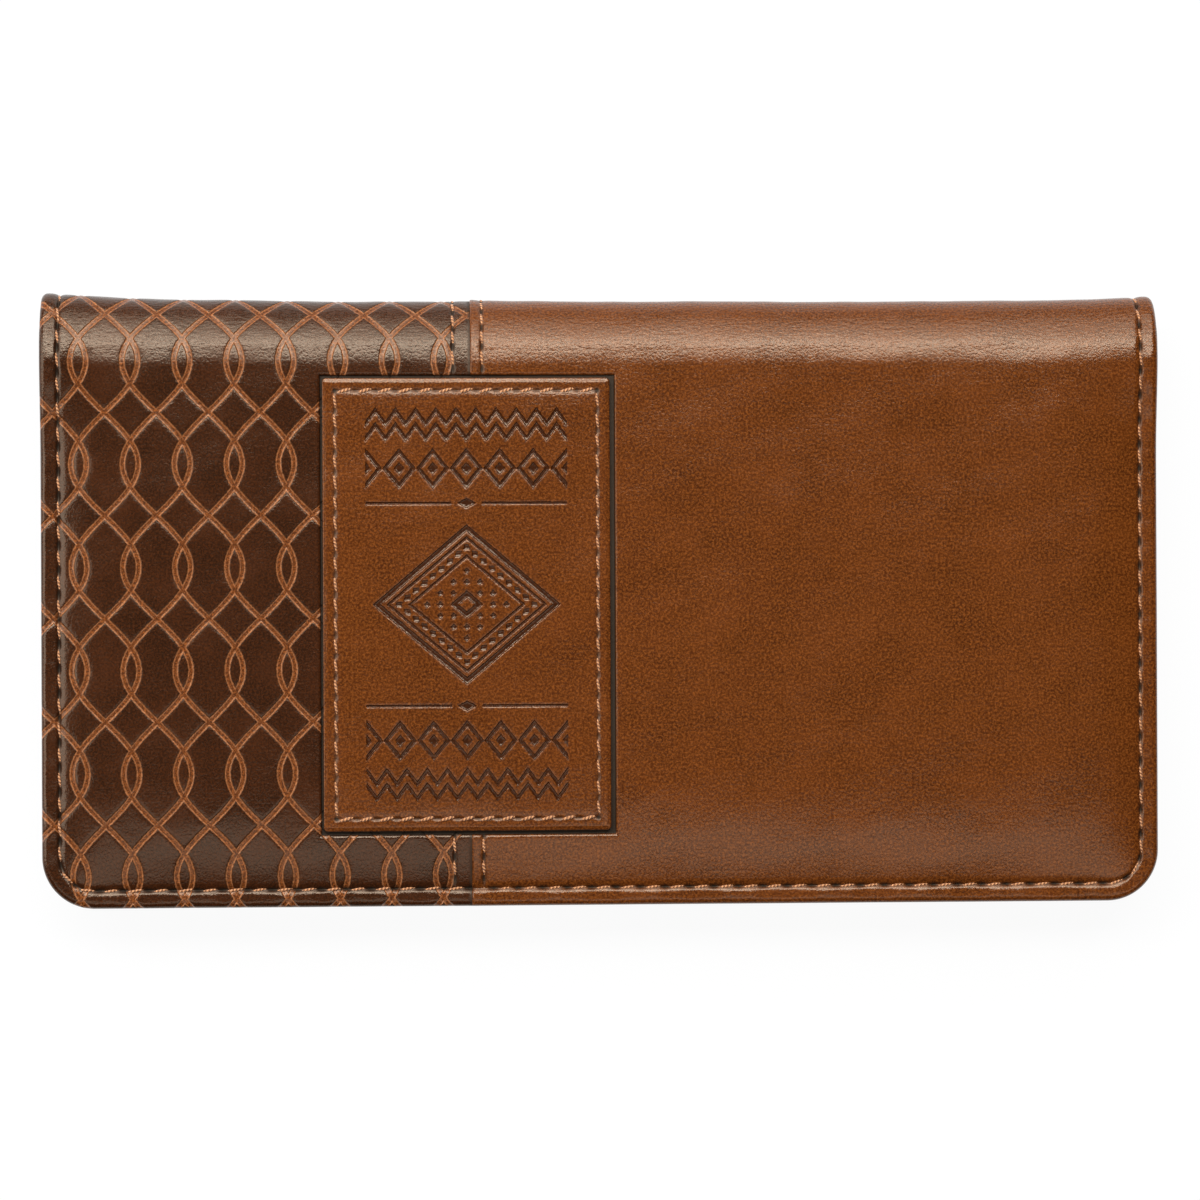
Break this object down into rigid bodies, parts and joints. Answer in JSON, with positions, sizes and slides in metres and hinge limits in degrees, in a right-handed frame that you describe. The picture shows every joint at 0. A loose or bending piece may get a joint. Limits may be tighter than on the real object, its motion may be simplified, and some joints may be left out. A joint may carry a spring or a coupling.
{
  "type": "checkbook cover",
  "caption": "Padded two-tone checkbook cover, closed, with a rolled spine, stitched edges, a sewn patch, inner pockets, a clear divider flap and an elastic pen loop.",
  "frame": {"origin": "bottom centre of the closed cover, in the plane it rests on", "axes": "+X along the fold, to the right as the front is seen with the spine at the top; +Y towards the spine; +Z out of the front leaf"},
  "size_m": [0.162, 0.089, 0.0148],
  "materials": {
    "patterned_skin": "dark brown faux leather with a debossed lighter trellis, satin",
    "plain_skin": "cognac faux leather, fine grain, soft mottling, satin",
    "patch": "cognac faux leather, heat-pressed ornament, satin",
    "thread": "twisted tan polyester thread",
    "lining": "brown woven lining",
    "pocket": "cognac faux leather, thin",
    "padding": "soft foam, open cells",
    "board": "grey-brown pressed cardboard",
    "binding": "dark brown faux leather tape",
    "clear_sheet": "clear flexible vinyl, glossy",
    "elastic": "ribbed elastic band"
  },
  "bodies": {
    "back_leaf": {"back_skin_patterned": "patterned_skin", "back_skin_plain": "plain_skin", "back_padding": "padding", "back_board": "board", "back_lining": "lining", "back_edge_thread": "thread", "back_seam_thread": "thread", "check_pocket": "pocket", "check_pocket_thread": "thread", "pen_loop": "elastic", "pen_loop_thread": "thread", "divider_binding": "binding", "divider_binding_thread": "thread"},
    "divider": {"clear_divider": "clear_sheet"},
    "spine_lower": {"spine_lower_skin_patterned": "patterned_skin", "spine_lower_skin_plain": "plain_skin", "spine_lower_lining": "lining", "spine_lower_thread": "thread"},
    "spine_middle": {"spine_middle_skin_patterned": "patterned_skin", "spine_middle_skin_plain": "plain_skin", "spine_middle_lining": "lining", "spine_middle_thread": "thread"},
    "spine_upper": {"spine_upper_skin_patterned": "patterned_skin", "spine_upper_skin_plain": "plain_skin", "spine_upper_lining": "lining", "spine_upper_thread": "thread"},
    "front_leaf": {"front_skin_patterned": "patterned_skin", "front_skin_plain": "plain_skin", "front_padding": "padding", "front_board": "board", "front_lining": "lining", "front_edge_thread": "thread", "front_seam_thread": "thread", "register_pocket": "pocket", "register_pocket_thread": "thread", "patch": "patch", "patch_thread": "thread"}
  },
  "joints": [
    {"name": "lower_fold", "type": "hinge", "parent": "back_leaf", "child": "spine_lower", "pos_m": [0, 0.0363, 0], "axis": [-1, 0, 0], "range_deg": [0, 30]},
    {"name": "lower_middle_fold", "type": "hinge", "parent": "spine_lower", "child": "spine_middle", "pos_m": [0, 0.04236, 0.0035], "axis": [-1, 0, 0], "range_deg": [0, 60]},
    {"name": "upper_middle_fold", "type": "hinge", "parent": "spine_middle", "child": "spine_upper", "pos_m": [0, 0.04236, 0.0105], "axis": [-1, 0, 0], "range_deg": [0, 60]},
    {"name": "front_fold", "type": "hinge", "parent": "spine_upper", "child": "front_leaf", "pos_m": [0, 0.0363, 0.014], "axis": [-1, 0, 0], "range_deg": [0, 30]},
    {"name": "divider_turn", "type": "hinge", "parent": "back_leaf", "child": "divider", "pos_m": [0, 0.0265, 0.0048], "axis": [-1, 0, 0], "range_deg": [0, 80]}
  ],
  "couplings": [
    {"joint": "front_fold", "follows": "lower_fold", "ratio": 1},
    {"joint": "lower_middle_fold", "follows": "lower_fold", "ratio": 2},
    {"joint": "upper_middle_fold", "follows": "lower_fold", "ratio": 2},
    {"joint": "divider_turn", "follows": "lower_fold", "ratio": 2.6666}
  ]
}
